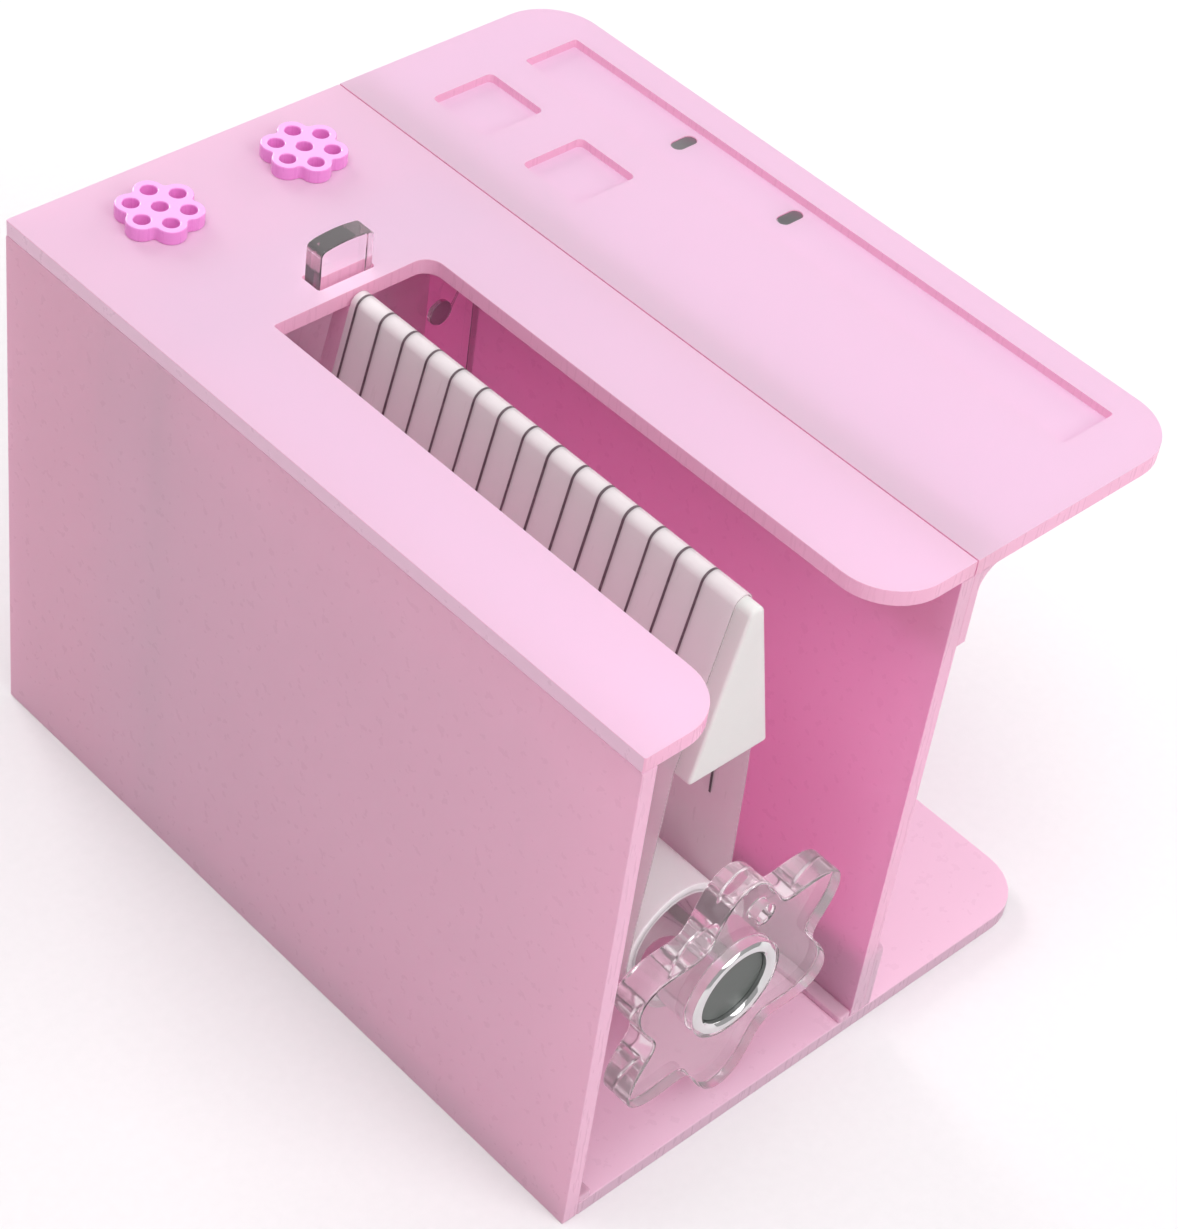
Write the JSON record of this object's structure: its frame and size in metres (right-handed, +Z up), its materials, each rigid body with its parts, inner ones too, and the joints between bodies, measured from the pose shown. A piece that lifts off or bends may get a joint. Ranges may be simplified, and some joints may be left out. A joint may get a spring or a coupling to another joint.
{
  "type": "die-cut tape machine",
  "caption": "Desk machine that peels die-cut tape: open sheet case, ruled wedge in a top slot, film roller turned by a flower knob, and an overhanging tool shelf.",
  "frame": {"origin": "on the table under the middle of the object's outline", "axes": "+X towards the shelf, +Y from the knob end to the back, +Z up"},
  "size_m": [0.112, 0.14, 0.107],
  "materials": {
    "pink_sheet": "polished cast acrylic sheet with flame-polished edges",
    "pale_pink_sheet": "satin top face, polished edges",
    "clear_sheet": "clear polished acrylic, laser cut",
    "magenta_sheet": "glossy acrylic, laser cut",
    "white_plastic": "milky white, fine sawn and sanded faces",
    "film": "silky release film with printed cross rules",
    "chrome": "bright plated",
    "steel": "turned",
    "bush": "moulded nylon",
    "magnet": "nickel plated, dull",
    "dark_plug": "smooth dull disc"
  },
  "bodies": {
    "case": {"base_plate": "pink_sheet", "left_wall": "pink_sheet", "right_wall": "pink_sheet", "bulkhead": "pink_sheet", "rear_wall": "pink_sheet", "shelf_plate": "pale_pink_sheet", "shelf_strip": "pink_sheet", "foot_strip": "pink_sheet", "floor_rails": "pink_sheet", "shelf_magnets": "magnet", "plate_magnet": "magnet", "carrier_plate": "clear_sheet", "rear_bearing": "bush", "wedge_bar": "white_plastic", "wedge_end_plate": "pink_sheet", "ruled_film": "film"},
    "lid": {"lid_plate": "pale_pink_sheet", "flower_badge_left": "magenta_sheet", "flower_badge_right": "magenta_sheet"},
    "roller": {"flower_knob": "clear_sheet", "knob_hub": "chrome", "hub_plug": "dark_plug", "roller_core": "white_plastic", "spindle": "steel", "retaining_collar": "steel"}
  },
  "joints": [
    {"name": "knob_spin", "type": "hinge", "parent": "case", "child": "roller", "pos_m": [-0.023, -0.068, 0.0287], "axis": [0, 1, 0], "continuous": true},
    {"name": "lid_lift", "type": "slide", "parent": "case", "child": "lid", "axis": [0, 0, 1], "range_m": [0, 0.04]}
  ]
}
